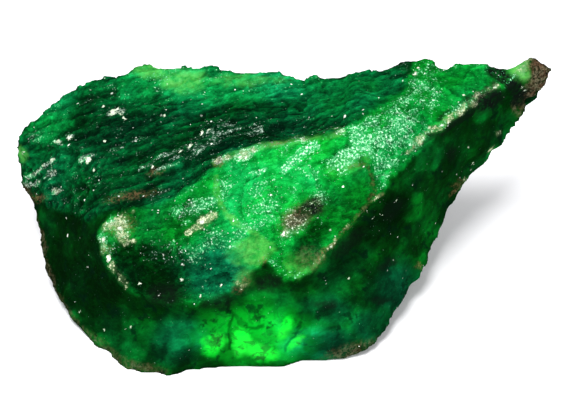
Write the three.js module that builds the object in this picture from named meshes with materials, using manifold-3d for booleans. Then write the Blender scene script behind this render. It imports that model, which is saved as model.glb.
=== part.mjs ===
// A raw emerald: one broken piece of included beryl, in millimetres, +Z up.
//
// The stone is a leaning shard. Its broad face carries a raised slab of brighter crystal that runs
// from a blunt nose at the left (-X) to a narrow overhanging prow at the upper right (+X). Behind
// the slab a long hollow band runs back to the top rim. Below the slab a steep dark face drops to
// the foot. The origin is under the middle of the stone, on the surface that it rests on.
import * as THREE from "three";
import Module from "manifold-3d";
import { mergeVertices } from "three/addons/utils/BufferGeometryUtils.js";
import { TessellateModifier } from "three/addons/modifiers/TessellateModifier.js";
import { ImprovedNoise } from "three/addons/math/ImprovedNoise.js";

// Driving dimensions, in millimetres and degrees.
const LEAN_DEG = 40; // how far the broad face leans back from upright
const FOOT_BELOW = 19; // the foot's front edge, below the middle of the broad face
const RIM_STEP = 1.6; // longest piece of the rim
const LINE_STEP = 1.3; // longest piece of the slab's edges and of the lines along their feet
const RAGGED = 0.5; // how far those edges and the rim wander
const WANDER_LENGTH = 1.9; // length of a wander
const WANDER_SHIFTS = [0, 31, 67]; // where in the noise its three directions are read
const FACET_EDGE = 2.3; // longest edge of a surface triangle
const REST_CUT = 0.9; // depth of stone taken off the foot for the flat that it rests on
const ROUGHNESS = 0.42; // height of the broken surface's waves
const WAVE_LENGTHS = [9, 4.2, 2.3]; // their lengths

const NOISE = new ImprovedNoise();

// Points of the stone with its broad face upright: [along its length, up the face, out of the face].
// The rim, clockwise from the left end: where the broad side and the back side meet.
const RIM = [
  [-33.2, 8.3, -11.2],
  [-32.6, 10.2, -10.9],
  [-30.6, 13.0, -10.9],
  [-28.4, 14.4, -10.9],
  [-24.5, 16.9, -10.7],
  [-20.8, 18.0, -10.1],
  [-19.3, 18.0, -10.0],
  [-18.0, 18.9, -10.0],
  [-16.2, 19.4, -9.8],
  [-14.5, 18.6, -9.6],
  [-10.5, 18.8, -9.2],
  [-8.3, 18.9, -8.8],
  [-5.8, 17.9, -8.6],
  [-1.4, 18.1, -8.2],
  [3.0, 17.4, -7.6],
  [6.0, 17.8, -7.4],
  [11.0, 18.3, -7.0],
  [16.8, 19.5, -5.9],
  [18.8, 19.6, -5.6],
  [20.5, 18.8, -5.4],
  [24.9, 19.2, -5.6],
  [28.2, 18.7, -6.2],
  [29.6, 19.5, -6.4],
  [32.4, 20.6, -6.9],
  [33.4, 19.6, -7.8],
  [33.6, 17.6, -9.3],
  [31.4, 14.1, -12.2],
  [28.9, 10.1, -13.2],
  [24.9, 6.4, -13.0],
  [22.5, 3.2, -13.0],
  [20.7, 0.0, -12.2],
  [19.7, -2.5, -10.7],
  [18.4, -5.4, -8.3],
  [15.8, -9.4, -5.4],
  [13.4, -13.3, -2.4],
  [11.5, -15.5, -1.0],
  [9.2, -16.7, -0.4],
  [6.5, -17.4, -0.3],
  [2.8, -17.8, -0.6],
  [-1.1, -18.6, 0.4],
  [-8.9, -19.0, 0.0],
  [-15.6, -20.4, 1.2],
  [-20.0, -18.9, -0.1],
  [-21.7, -16.7, -2.0],
  [-25.2, -13.4, -4.3],
  [-27.8, -10.2, -6.7],
  [-28.8, -7.8, -8.6],
  [-29.8, -1.6, -11.2],
  [-31.5, 3.2, -12.0],
  [-32.5, 6.6, -11.8],
];

// The slab's upper edge, from the nose to the top rim, and the line along its foot behind it.
const SLAB_CREST = [
  [-22.2, -2.1, 4.3],
  [-21.0, 0.2, 4.2],
  [-18.4, 0.9, 4.9],
  [-15.7, 1.3, 5.2],
  [-12.9, 2.4, 5.8],
  [-10.2, 4.3, 5.7],
  [-7.7, 6.3, 5.6],
  [-5.6, 7.7, 5.6],
  [-3.3, 8.4, 5.4],
  [1.1, 9.0, 5.4],
  [3.7, 9.4, 5.5],
  [6.2, 10.1, 5.4],
  [8.4, 11.4, 4.8],
  [10.5, 12.6, 4.0],
  [12.6, 13.6, 2.9],
  [14.6, 14.7, 1.4],
  [15.7, 16.7, -1.6],
];
const BAND_FOOT = [
  [-24.5, 0.2, -0.8],
  [-22.9, 2.6, -0.4],
  [-19.7, 2.4, 1.4],
  [-16.6, 3.0, 2.2],
  [-14.0, 4.5, 2.2],
  [-11.3, 4.9, 2.6],
  [-9.3, 7.1, 2.2],
  [-6.8, 8.6, 1.8],
  [-3.7, 10.2, 0.4],
  [-0.4, 10.4, 0.6],
  [3.1, 10.6, 1.6],
  [5.9, 11.7, 1.2],
  [8.1, 13.8, -0.4],
  [10.6, 15.2, -0.8],
];
// The hollow band's own surface, with one long low rib, up to the top rim.
const BAND = [
  [-16.4, 5.7, 1.3],
  [-13.9, 6.5, 1.6],
  [-11.3, 7.7, 1.5],
  [-8.2, 9.6, 0.5],
  [-5.5, 10.7, -0.3],
  [-1.8, 12.2, -1.6],
  [2.6, 12.7, -2.1],
  [-28.9, 1.2, -7.9],
  [-26.3, 0.6, -4.4],
  [-29.5, 6.6, -8.0],
  [-27.4, 10.6, -7.6],
  [-25.3, 4.2, -4.5],
  [-21.0, 6.3, -1.6],
  [-21.6, 11.5, -5.2],
  [-17.3, 8.9, -2.0],
  [-16.2, 12.9, -5.2],
  [-11.4, 11.9, -3.4],
  [-10.5, 15.3, -6.0],
  [-5.3, 14.3, -4.6],
  [-2.2, 15.7, -6.2],
  [2.8, 14.5, -4.6],
  [7.9, 14.8, -3.8],
  [12.4, 16.2, -3.2],
];
// The slab's own surface: a rib from the nose to the middle, shallow hollows and low bosses.
const SLAB = [
  [-19.9, -1.7, 5.9],
  [-16.6, -3.0, 7.5],
  [-13.5, -3.0, 8.0],
  [-10.8, -1.7, 8.3],
  [-7.9, -2.4, 8.9],
  [-4.8, -3.6, 9.3],
  [-15.8, -0.7, 6.4],
  [-18.0, -5.5, 5.7],
  [-14.1, -6.5, 6.5],
  [-10.2, -5.7, 7.6],
  [-8.1, -7.3, 7.6],
  [-12.0, -8.8, 5.9],
  [-10.6, 1.4, 6.9],
  [-6.3, 1.8, 7.7],
  [-5.8, 4.7, 6.6],
  [-1.9, 5.1, 6.8],
  [-1.7, 0.5, 8.8],
  [-3.4, -1.6, 8.9],
  [1.6, 3.6, 7.6],
  [2.3, -0.1, 8.0],
  [4.3, 1.6, 8.3],
  [5.4, 5.3, 7.3],
  [7.2, 7.8, 6.5],
  [8.1, 2.2, 7.7],
  [3.1, -3.4, 8.6],
  [10.3, 6.1, 6.3],
  [10.7, 9.4, 5.4],
  [13.0, 10.7, 4.1],
  [13.2, 6.5, 5.0],
  [16.0, 11.4, 2.9],
  [18.0, 14.3, 0.1],
  [17.7, 16.8, -3.0],
  [20.5, 15.0, -1.6],
  [23.5, 16.2, -3.0],
  [23.8, 14.4, -1.9],
  [27.9, 15.9, -5.0],
  [30.3, 17.5, -6.0],
];
// The slab's broken lower edge, and the face just below it. Two chips bite into the edge.
const SLAB_EDGE = [
  [-22.0, -4.0, 3.6],
  [-21.2, -6.0, 3.7],
  [-19.6, -7.9, 4.1],
  [-16.1, -9.8, 4.9],
  [-11.2, -10.6, 5.8],
  [-7.3, -9.8, 6.8],
  [-5.2, -8.2, 7.4],
  [-3.8, -6.5, 8.0],
  [-2.1, -5.3, 8.4],
  [-0.7, -6.1, 8.2],
  [0.8, -7.5, 8.1],
  [2.5, -7.4, 8.3],
  [4.5, -5.3, 8.2],
  [6.6, -2.6, 7.8],
  [8.7, -0.3, 7.1],
  [10.8, 1.6, 6.4],
  [12.5, 3.4, 5.6],
  [15.1, 6.4, 4.1],
  [17.6, 8.8, 2.5],
  [21.2, 11.8, 0.1],
  [25.0, 14.5, -2.7],
];
const EDGE_FOOT = [
  [-24.1, -4.3, -0.6],
  [-23.3, -7.6, -0.2],
  [-20.9, -9.9, 1.0],
  [-16.9, -11.6, 2.4],
  [-13.2, -12.0, 3.4],
  [-9.5, -13.0, 3.6],
  [-6.4, -12.0, 4.4],
  [-4.2, -9.4, 5.7],
  [-2.1, -7.8, 6.2],
  [0.2, -10.0, 5.2],
  [3.7, -9.8, 5.4],
  [6.6, -7.3, 5.0],
  [8.4, -3.8, 5.2],
  [10.7, -1.5, 3.9],
  [14.5, 1.4, 2.0],
  [16.6, 4.9, 1.3],
  [20.3, 8.1, -1.5],
  [23.3, 11.6, -3.9],
  [27.6, 13.9, -7.4],
];
// The steep faces below and to the right of the slab.
const LOWER_FACE = [
  [-27.8, -3.6, -7.6],
  [-26.1, -8.9, -3.8],
  [-22.8, -12.5, -1.2],
  [-17.6, -15.0, 1.6],
  [-11.7, -16.1, 2.9],
  [-5.2, -14.5, 4.1],
  [0.6, -13.3, 4.5],
  [4.9, -14.5, 3.6],
  [6.8, -10.8, 4.5],
  [9.6, -13.2, 2.0],
  [10.3, -7.7, 3.2],
  [12.7, -4.4, 1.0],
  [12.4, -9.7, 0.2],
  [14.8, -6.3, -2.6],
  [13.5, -1.5, 1.6],
  [16.8, -2.1, -4.2],
  [16.9, 2.4, -0.9],
  [18.8, 1.0, -5.2],
  [20.3, 5.0, -3.9],
  [22.1, 3.9, -7.6],
  [22.1, 8.1, -4.4],
  [24.9, 8.0, -8.2],
  [25.7, 10.9, -7.6],
  [28.6, 13.2, -10.0],
  [30.3, 16.2, -9.2],
];

// The back side, from the foot's flat up to the top rim.
const BACK = [
  [-17.0, -16.6, -4.3],
  [-7.0, -16.9, -4.0],
  [2.0, -16.2, -4.8],
  [-22.4, -12.0, -10.0],
  [-8.0, -12.0, -10.0],
  [6.6, -12.0, -10.0],
  [-21.0, -6.9, -16.0],
  [-6.0, -6.9, -16.0],
  [8.4, -6.9, -16.0],
  [-14.6, -3.8, -19.7],
  [-3.0, -3.4, -20.2],
  [5.0, -4.2, -19.2],
  [10.8, -11.2, -7.0],
  [14.6, -4.8, -12.4],
  [17.0, 1.8, -15.0],
  [21.6, 9.2, -15.2],
  [27.0, 14.6, -12.6],
  [30.2, 17.4, -10.4],
  [-26.6, -5.2, -13.0],
  [-28.6, 2.0, -15.2],
  [-29.6, 8.6, -14.2],
  [-19.0, 2.6, -19.6],
  [-5.0, 3.6, -20.4],
  [9.0, 2.0, -18.6],
  [-24.0, 8.4, -16.6],
  [-11.0, 9.8, -17.8],
  [1.6, 8.6, -17.0],
  [13.4, 9.6, -16.0],
  [-16.0, 14.6, -13.8],
  [-4.0, 14.2, -13.0],
  [8.6, 14.0, -12.2],
  [19.6, 15.0, -10.8],
];

// A ragged line: its long stretches are divided, up to its last point, and every point wanders.
function raggedLine(line, longest) {
  const points = line.map((p) => new THREE.Vector3(...p));
  const divided = points.slice(0, -1).flatMap((start, i) => {
    const count = Math.ceil(start.distanceTo(points[i + 1]) / longest);
    return Array.from({ length: count }, (_, k) => start.clone().lerp(points[i + 1], k / count));
  });
  return divided.map(({ x, y, z }) => {
    const [u, v, w] = [x, y, z].map((value) => value / WANDER_LENGTH);
    const wander = WANDER_SHIFTS.map((shift) => NOISE.noise(u + shift, v, w + shift) * RAGGED);
    return new THREE.Vector3(x + wander[0], y + wander[1], z + wander[2]);
  });
}

// True if the circle through a triangle's corners holds point p, all seen square to the face.
function circleHolds([a, b, c], p) {
  const rows = [a, b, c].map((q) => [q.x - p.x, q.y - p.y]);
  const [[ax, ay], [bx, by], [cx, cy]] = rows;
  const [as, bs, cs] = rows.map(([x, y]) => x * x + y * y);
  return as * (bx * cy - cx * by) - bs * (ax * cy - cx * ay) + cs * (ax * by - bx * ay) > 0;
}

// Triangles that join the points, seen square to the face, each as round as it can be (Delaunay).
function joinedPoints(points) {
  const far = 1000;
  const outer = [[-far, -far], [far, -far], [0, far]].map(([x, y]) => new THREE.Vector3(x, y, 0));
  let triangles = [outer];
  for (const p of points) {
    const opened = triangles.filter((t) => circleHolds(t, p));
    const edges = opened.flatMap(([a, b, c]) => [[a, b], [b, c], [c, a]]);
    const border = edges.filter(([a, b]) => !edges.some(([c, d]) => c === b && d === a));
    triangles = triangles.filter((t) => !opened.includes(t));
    triangles.push(...border.map(([a, b]) => [a, b, p]));
  }
  return triangles.filter((t) => !t.some((corner) => outer.includes(corner)));
}

// True if the middle of a triangle is inside the loop, seen square to the face.
function insideLoop(triangle, loop) {
  const x = (triangle[0].x + triangle[1].x + triangle[2].x) / 3;
  const y = (triangle[0].y + triangle[1].y + triangle[2].y) / 3;
  return loop.reduce((inside, a, i) => {
    const b = loop[(i + 1) % loop.length];
    const crosses = a.y > y !== b.y > y && x < ((b.x - a.x) * (y - a.y)) / (b.y - a.y) + a.x;
    return crosses ? !inside : inside;
  }, false);
}

// One side of the stone: the sheet over the rim that passes through that side's points.
function side(rim, points) {
  return joinedPoints([...rim, ...points]).filter((triangle) => insideLoop(triangle, rim));
}

// Both sides closed on the rim, as large flat breaks.
function shardGeometry() {
  const rim = raggedLine([...RIM, RIM[0]], RIM_STEP);
  const lines = [SLAB_CREST, BAND_FOOT, SLAB_EDGE, EDGE_FOOT];
  const edges = lines.flatMap((line) => raggedLine(line, LINE_STEP));
  const faces = [...BAND, ...SLAB, ...LOWER_FACE].map((p) => new THREE.Vector3(...p));
  const broad = side(rim, [...edges, ...faces]);
  const back = side(rim, BACK.map((p) => new THREE.Vector3(...p))).map(([a, b, c]) => [a, c, b]);
  return new THREE.BufferGeometry().setFromPoints([...broad, ...back].flat());
}

// Small facets, moved in and out along the surface by sharp-crested waves.
function roughened(geometry) {
  const merged = mergeVertices(geometry, 1e-3);
  merged.computeVertexNormals();
  const position = merged.getAttribute("position");
  const normal = merged.getAttribute("normal");
  for (let i = 0; i < position.count; i += 1) {
    const p = new THREE.Vector3().fromBufferAttribute(position, i);
    const height = WAVE_LENGTHS.reduce((sum, length, k) => {
      const wave = NOISE.noise(p.x / length + 7 * k, p.y / length, p.z / length);
      return sum + (0.5 - 2 * Math.abs(wave)) / (k + 1);
    }, 0);
    p.addScaledVector(new THREE.Vector3().fromBufferAttribute(normal, i), ROUGHNESS * height);
    position.setXYZ(i, p.x, p.y, p.z);
  }
  merged.deleteAttribute("normal");
  return merged;
}

// A closed geometry as a solid for cutting, and back.
function solidOf(wasm, geometry) {
  const merged = mergeVertices(geometry, 1e-4);
  return new wasm.Manifold(
    new wasm.Mesh({
      numProp: 3,
      vertProperties: merged.getAttribute("position").array,
      triVerts: new Uint32Array(merged.index.array),
    }),
  );
}

function geometryOf(solid) {
  const { vertProperties, triVerts } = solid.getMesh();
  return new THREE.BufferGeometry()
    .setAttribute("position", new THREE.BufferAttribute(vertProperties, 3))
    .setIndex(new THREE.BufferAttribute(triVerts, 1));
}

// Everything below the resting plane, as a block to cut away.
function belowFoot() {
  const size = 200;
  const block = new THREE.BoxGeometry(size, size, size).translate(0, 0, -size / 2);
  block.deleteAttribute("normal");
  block.deleteAttribute("uv");
  return block;
}

// The leaning stone, cut flat where it rests, with the origin under the middle of its box.
async function stoneGeometry() {
  const wasm = await Module();
  wasm.setup();
  const lean = THREE.MathUtils.degToRad(LEAN_DEG);
  const facets = new TessellateModifier(FACET_EDGE, 10).modify(shardGeometry());
  const leaning = roughened(facets)
    .translate(0, FOOT_BELOW, 0)
    .rotateX(Math.PI / 2 - lean)
    .translate(0, 0, -REST_CUT);
  const cut = solidOf(wasm, leaning).subtract(solidOf(wasm, belowFoot()));
  const stone = geometryOf(cut);
  stone.computeBoundingBox();
  const middle = stone.boundingBox.getCenter(new THREE.Vector3());
  return stone.translate(-middle.x, -middle.y, -stone.boundingBox.min.z);
}

const emerald = new THREE.MeshStandardMaterial({ color: 0x0b6b34, roughness: 0.35, metalness: 0 });
const stone = new THREE.Mesh(await stoneGeometry(), emerald);
stone.name = "emerald_crystal";
const group = new THREE.Group();
group.add(stone);
export default group;
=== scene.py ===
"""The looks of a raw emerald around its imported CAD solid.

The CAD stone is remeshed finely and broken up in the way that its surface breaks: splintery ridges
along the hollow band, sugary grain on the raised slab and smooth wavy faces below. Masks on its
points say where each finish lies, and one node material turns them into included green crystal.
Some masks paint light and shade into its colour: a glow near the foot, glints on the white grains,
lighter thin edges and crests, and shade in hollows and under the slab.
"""

import math
from itertools import product

import bpy
import numpy as np
from mathutils import Matrix, Vector
from mathutils.bvhtree import BVHTree

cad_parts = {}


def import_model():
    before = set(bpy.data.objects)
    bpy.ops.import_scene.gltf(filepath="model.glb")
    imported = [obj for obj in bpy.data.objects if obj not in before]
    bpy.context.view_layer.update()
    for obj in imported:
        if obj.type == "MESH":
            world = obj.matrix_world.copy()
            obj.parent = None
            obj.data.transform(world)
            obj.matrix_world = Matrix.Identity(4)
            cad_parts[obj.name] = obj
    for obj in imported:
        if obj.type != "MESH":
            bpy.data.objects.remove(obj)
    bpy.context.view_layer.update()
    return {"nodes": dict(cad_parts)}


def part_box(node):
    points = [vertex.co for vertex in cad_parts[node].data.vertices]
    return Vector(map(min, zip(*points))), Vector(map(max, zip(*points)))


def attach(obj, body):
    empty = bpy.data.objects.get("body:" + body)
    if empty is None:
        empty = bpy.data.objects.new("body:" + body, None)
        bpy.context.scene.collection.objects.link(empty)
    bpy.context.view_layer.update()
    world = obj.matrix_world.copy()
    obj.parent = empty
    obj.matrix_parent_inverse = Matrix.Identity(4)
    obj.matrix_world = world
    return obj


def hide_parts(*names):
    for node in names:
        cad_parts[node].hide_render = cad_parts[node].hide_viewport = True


NODE = "emerald_crystal"
MM = 0.001
SEED = 11

# The broad face's own directions: U along the stone, V up the face, W out of it. The face leans back.
LEAN = math.radians(40)
U = np.array((1.0, 0.0, 0.0))
V = np.array((0.0, math.sin(LEAN), math.cos(LEAN)))
W = np.array((0.0, -math.cos(LEAN), math.sin(LEAN)))
# The splinters and streaks run along the stone and rise to the right.
RISE = math.radians(17)
STREAK = (U * math.cos(RISE) + V * math.sin(RISE), V * math.cos(RISE) - U * math.sin(RISE), W)
STREAK_FRAME = Matrix(STREAK).transposed()
# The middle of the broad face, as shares of the CAD box.
FACE_MIDDLE = np.array((0.4950, 0.4046, 0.5193))

# The camera looks square at the face, straight at the place SIGHT on it. Lengths in millimetres.
SIGHT = np.array((0.6, 2.2))
CAMERA_DISTANCE = 500.0
AIM_DEPTH = 5.0
FRAME_WIDTH = 70.5
# Places on the face are told as an eye this far in front of it sees them, in the plane of the rim,
# which lies this far behind the middle. The tables call the place SIGHT by the numbers SIGHT_PLACE.
EYE = CAMERA_DISTANCE - AIM_DEPTH
RIM_DEPTH = 10.3
SIGHT_PLACE = np.array((0.5, 1.94))

# The mesh: the size of its faces, and rounds of smoothing for its shape and for its relief.
VOXEL = 0.28 * MM
WELD = 0.01 * MM
SMOOTHING = 6
RELIEF_ROUNDS = 8
DRAW_IN = 0.6
DRAW_OUT = -0.62
# The foot stays flat up to the first height, and the relief is full from the second.
FOOT_HEIGHTS = (0.05, 1.1)
# A ray through the stone starts this far inside it, and is taken to run this far if it meets nothing.
RAY_START = 0.05
RAY_LENGTH = 40.0


# --- Noise on points in millimetres -------------------------------------------------------------

RANDOM = np.random.default_rng(SEED)
GRADIENTS = RANDOM.normal(size=(1024, 3))
GRADIENTS /= np.linalg.norm(GRADIENTS, axis=1)[:, None]
VALUES = RANDOM.random((4096, 6))
PRIMES = np.array((73856093, 19349663, 83492791))
SEED_PRIME = 2654435761
SEED_SHIFT = 5.37
# These bring each kind of noise to a range of about -1 to 1.
WAVE_GAIN = 1.6
BREAK_GAIN = 1.2


def lattice_hash(cells, seed):
    """One whole number for each lattice cell."""
    mixed = cells.astype(np.int64) * PRIMES
    mixed = mixed[:, 0] ^ mixed[:, 1] ^ mixed[:, 2] ^ (seed * SEED_PRIME)
    return (mixed ^ (mixed >> 13)) & 0x7FFFFFFF


def waves(points, length, seed=0):
    """Gradient noise from about -1 to 1, with bumps of that length. length may differ by axis."""
    p = points / np.asarray(length, float) + seed * SEED_SHIFT
    cell = np.floor(p)
    f = p - cell
    fade = f * f * f * (f * (f * 6 - 15) + 10)
    total = np.zeros(len(p))
    for corner in product((0, 1), repeat=3):
        corner = np.array(corner)
        gradient = GRADIENTS[lattice_hash(cell + corner, seed) % len(GRADIENTS)]
        weight = np.prod(np.where(corner, fade, 1 - fade), axis=1)
        total += weight * np.einsum("ij,ij->i", gradient, f - corner)
    return total * WAVE_GAIN


def octaves(points, length, count, seed=0):
    """Noise with finer and finer bumps on it."""
    length = np.asarray(length, float)
    return sum(waves(points, length / 2**k, seed + k) / 2**k for k in range(count))


def crests(points, length, count, seed=0):
    """Noise with sharp crests, from about -1 to 1."""
    length = np.asarray(length, float)
    total = sum((0.5 - np.abs(waves(points, length / 2**k, seed + k))) / 2**k for k in range(count))
    return total * WAVE_GAIN


def splinters(points, size, seed=0):
    """Cells scattered through the stone.

    Returns each point's offset from the middle of its cell, the cell's own random values, and how
    much farther away the next cell's middle is.
    """
    p = points / np.asarray(size, float)
    home = np.floor(p)
    nearest = np.full(len(p), np.inf)
    second = np.full(len(p), np.inf)
    offset = np.zeros_like(p)
    value = np.zeros((len(p), VALUES.shape[1]))
    for step in product((-1, 0, 1), repeat=3):
        cell = home + np.array(step)
        values = VALUES[lattice_hash(cell, seed) % len(VALUES)]
        away = p - (cell + values[:, :3])
        distance = np.einsum("ij,ij->i", away, away)
        closer = distance < nearest
        second = np.where(closer, nearest, np.minimum(second, distance))
        nearest = np.where(closer, distance, nearest)
        offset[closer] = away[closer]
        value[closer] = values[closer]
    return offset, value, np.sqrt(second) - np.sqrt(nearest)


def breaks(points, size, seed=0):
    """Height of a surface broken into tilted flats of that size, from about -1 to 1."""
    offset, value, _ = splinters(points, size, seed)
    tilt = value[:, 3:] * 2 - 1
    return np.einsum("ij,ij->i", offset, tilt) * BREAK_GAIN


def ramp(value, low, high):
    """0 up to low, 1 from high, and smooth between."""
    t = np.clip((value - low) / (high - low), 0, 1)
    return t * t * (3 - 2 * t)


def strongest(*shares):
    """The largest of several shares at each point."""
    return np.maximum.reduce(shares)


def towards(value, level, share):
    """The value, drawn towards the level by that share."""
    return value + (level - value) * share


# --- Places on the broad face, in millimetres along it and up it ----------------------------------

# Outlines: the raised slab, the hollow band above it and the sugary strip across the slab.
SLAB = (
    (-22.9, -2.4), (-21.6, 0.1), (-16.4, 1.1), (-13.3, 2.3), (-8.0, 6.4), (-3.5, 8.6), (1.1, 9.3),
    (6.5, 10.4), (10.8, 12.9), (14.9, 15.1), (16.8, 19.6), (20.5, 19.5), (29.0, 20.0), (30.0, 17.0),
    (26.0, 15.0), (21.6, 12.0), (18.0, 8.9), (12.8, 3.3), (6.8, -3.0), (4.6, -5.8), (2.4, -8.2),
    (0.6, -8.2), (-2.0, -5.8), (-5.8, -9.0), (-7.4, -10.4), (-11.6, -11.2), (-16.6, -10.4),
    (-20.2, -8.2), (-22.2, -5.6),
)
BAND = (
    (-34.0, 4.0), (-28.9, 1.1), (-24.0, -0.6), (-22.0, 0.4), (-16.4, 1.1), (-13.3, 2.3), (-8.0, 6.4),
    (-3.5, 8.6), (1.1, 9.3), (6.5, 10.4), (10.8, 12.9), (14.9, 15.1), (17.0, 21.0), (-22.0, 22.0),
    (-36.0, 16.0),
)
SUGARY = (
    (13.5, 14.5), (16.4, 16.1), (16.2, 18.0), (17.1, 20.2), (20.9, 19.2), (21.0, 15.2), (19.0, 13.4),
    (17.9, 10.6), (16.6, 7.6), (12.1, 2.4), (11.2, 5.5), (10.9, 7.1), (6.4, 6.6), (6.2, 7.8),
    (8.6, 9.6), (9.0, 11.2), (11.4, 13.0),
)
# Edges, seams and cracks of the slab and the prow.
UPPER_EDGE = ((-8.2, 6.7), (-5.4, 7.7), (-2.6, 8.7), (1.0, 9.2), (4.4, 9.7), (7.4, 10.6))
CRACK = ((-8.0, 4.8), (-8.0, 2.6), (-7.0, 0.3), (-5.6, -0.8), (-3.8, -1.8), (-1.2, -3.6))
LOWER_EDGE = ((4.6, -5.8), (6.8, -3.0), (9.0, -0.6), (11.1, 1.4), (12.6, 2.9))
PROW_CREST = ((16.6, 9.0), (19.4, 11.0), (23.0, 13.6), (26.8, 16.4))
SUGAR_VEIN = ((0.3, 5.9), (1.4, 6.9), (2.8, 7.9), (4.4, 8.9))
# Outlines of the two pale flakes at the slab's lower edge.
FLAKE = (
    (-7.4, -4.2), (-6.4, -3.2), (-4.2, -2.8), (-2.4, -2.7), (-0.7, -4.2), (-1.8, -5.4), (-3.6, -6.4),
    (-5.6, -6.0), (-7.0, -5.2),
)
SECOND_FLAKE = (
    (0.2, -4.4), (1.8, -3.8), (3.6, -4.0), (5.3, -4.2), (4.9, -5.6), (3.6, -7.0), (2.2, -8.0),
    (0.9, -7.4),
)
# Short pale streaks on the left of the band.
PALE_STREAKS = (
    ((-31.6, 4.9), (-30.0, 6.0), (-28.3, 7.1)),
    ((-31.6, 3.9), (-30.4, 4.3)),
    ((-25.0, 7.0), (-23.6, 7.7)),
    ((-29.2, 4.9), (-28.4, 5.4)),
    ((-28.2, 9.0), (-27.6, 9.2)),
    ((-26.6, 9.9), (-26.2, 10.0)),
    ((-21.4, 12.8), (-19.8, 12.9)),
    ((-28.3, 3.0), (-27.6, 3.2)),
)
# The band's rib, the slab's nose, the ring of mica round the tip and the lines along the prow.
RIB = ((-16.8, 5.9), (-14.0, 7.0), (-10.2, 8.9), (-7.4, 10.7), (-3.1, 10.8))
NOSE_EDGE = ((-21.4, -1.0), (-22.3, -2.8), (-21.9, -4.8), (-20.9, -6.8), (-19.4, -8.7))
MICA_RING = ((26.4, 18.3), (27.4, 17.8), (28.8, 16.8), (29.7, 15.6), (29.6, 14.4))
CREST_LINES = (
    ((19.6, 12.2), (22.0, 13.7), (24.6, 15.4), (27.2, 17.2)),
    ((16.8, 8.4), (20.0, 10.6), (22.6, 12.2), (24.8, 13.6)),
)
# A dark facet's edge, the nose's cream top and a beige streak behind it.
FACET_EDGE = ((8.4, 6.1), (10.1, 6.5), (10.9, 6.3), (11.4, 4.6), (11.7, 3.3), (11.1, 2.1))
NOSE_TOP = ((-21.9, -1.0), (-20.2, -0.2), (-18.6, 0.4))
BEIGE = ((-11.5, -2.0), (-10.0, -1.0), (-8.5, 0.1))
# The left end's rim, the dark veins in the lower faces and the rim above the foot.
LEFT_RIM = ((-32.0, 3.3), (-30.2, -1.8), (-28.9, -7.5), (-27.4, -11.0), (-25.4, -13.6))
VEINS = (
    ((-6.6, -10.6), (-6.3, -12.6), (-6.5, -14.6), (-6.4, -16.6)),
    ((0.6, -16.6), (1.2, -15.4), (2.1, -14.5), (2.6, -13.2)),
    ((-4.4, -13.6), (-3.0, -14.1), (-2.2, -13.4)),
)
FOOT_RIM = ((-24.6, -14.6), (-21.6, -17.0), (-19.0, -18.8), (-15.2, -19.6))


def from_segment(places, a, b):
    """How far each place is from the straight line between two others."""
    share = np.clip((places - a) @ (b - a) / ((b - a) @ (b - a)), 0, 1)
    return np.hypot(*(places - a - share[:, None] * (b - a)).T)


class Face:
    """The stone's points in the broad face's directions, and what lies where on the face."""

    def __init__(self, points, normals, middle):
        self.points = points
        self.along = points @ np.array(STREAK).T
        uvw = (points - middle) @ np.array((U, V, W)).T
        spread = (EYE + RIM_DEPTH) / (EYE - uvw[:, 2:])
        seen = SIGHT_PLACE + (uvw[:, :2] - SIGHT) * spread
        wobble = [octaves(points, 1.8, 3, seed) * 0.36 for seed in (40, 50)]
        self.places = seen + np.stack(wobble, 1)
        self.u, self.v = self.places.T
        self.front = ramp(normals @ W, -0.15, 0.2)
        self.back = 1 - self.front

    def patch(self, u, v, half_length, half_width, turn, soft=0.5):
        """1 in a ragged ellipse on the broad side, fading to 0 across its edge."""
        c, s = math.cos(math.radians(turn)), math.sin(math.radians(turn))
        along = ((self.u - u) * c + (self.v - v) * s) / half_length
        across = ((self.v - v) * c - (self.u - u) * s) / half_width
        return self.front * (1 - ramp(np.hypot(along, across), 1 - soft, 1 + soft))

    def patches(self, table):
        """The strongest of a table's patches at each point."""
        return strongest(*(level * self.patch(*place) for *place, level in table))

    def layered(self, value, table, within):
        """The value, drawn towards the level of each of a table's patches in turn."""
        for *place, level in table:
            value = towards(value, level, self.patch(*place) * within)
        return value

    def line(self, places, width):
        """1 along a line of places on the broad side, fading to 0 at that half width."""
        corners = np.array(places)
        nearest = np.minimum.reduce(
            [from_segment(self.places, a, b) for a, b in zip(corners[:-1], corners[1:])]
        )
        return self.front * (1 - ramp(nearest, width * 0.45, width))

    def area(self, outline, soft):
        """1 inside an outline on the broad side, fading to 0 across it."""
        corners = np.array(outline)
        inside = np.zeros(len(self.places), bool)
        nearest = np.full(len(self.places), np.inf)
        for a, b in zip(corners, np.roll(corners, -1, axis=0)):
            nearest = np.minimum(nearest, from_segment(self.places, a, b))
            crosses = (a[1] > self.v) != (b[1] > self.v)
            rise = (b[1] - a[1]) or 1.0
            inside ^= crosses & (self.u < (b[0] - a[0]) * (self.v - a[1]) / rise + a[0])
        depth = np.where(inside, nearest, -nearest)
        return self.front * ramp(depth, -soft, soft)


# --- The stone's mesh ----------------------------------------------------------------------------


def points_of(mesh):
    """The mesh's points, in millimetres."""
    flat = np.empty(len(mesh.vertices) * 3, np.float32)
    mesh.vertices.foreach_get("co", flat)
    return flat.reshape(-1, 3).astype(float) / MM


def normals_of(mesh):
    flat = np.empty(len(mesh.vertices) * 3, np.float32)
    mesh.vertex_normals.foreach_get("vector", flat)
    return flat.reshape(-1, 3).astype(float)


def set_points(mesh, points):
    mesh.vertices.foreach_set("co", (points * MM).astype(np.float32).ravel())
    mesh.update()


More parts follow.
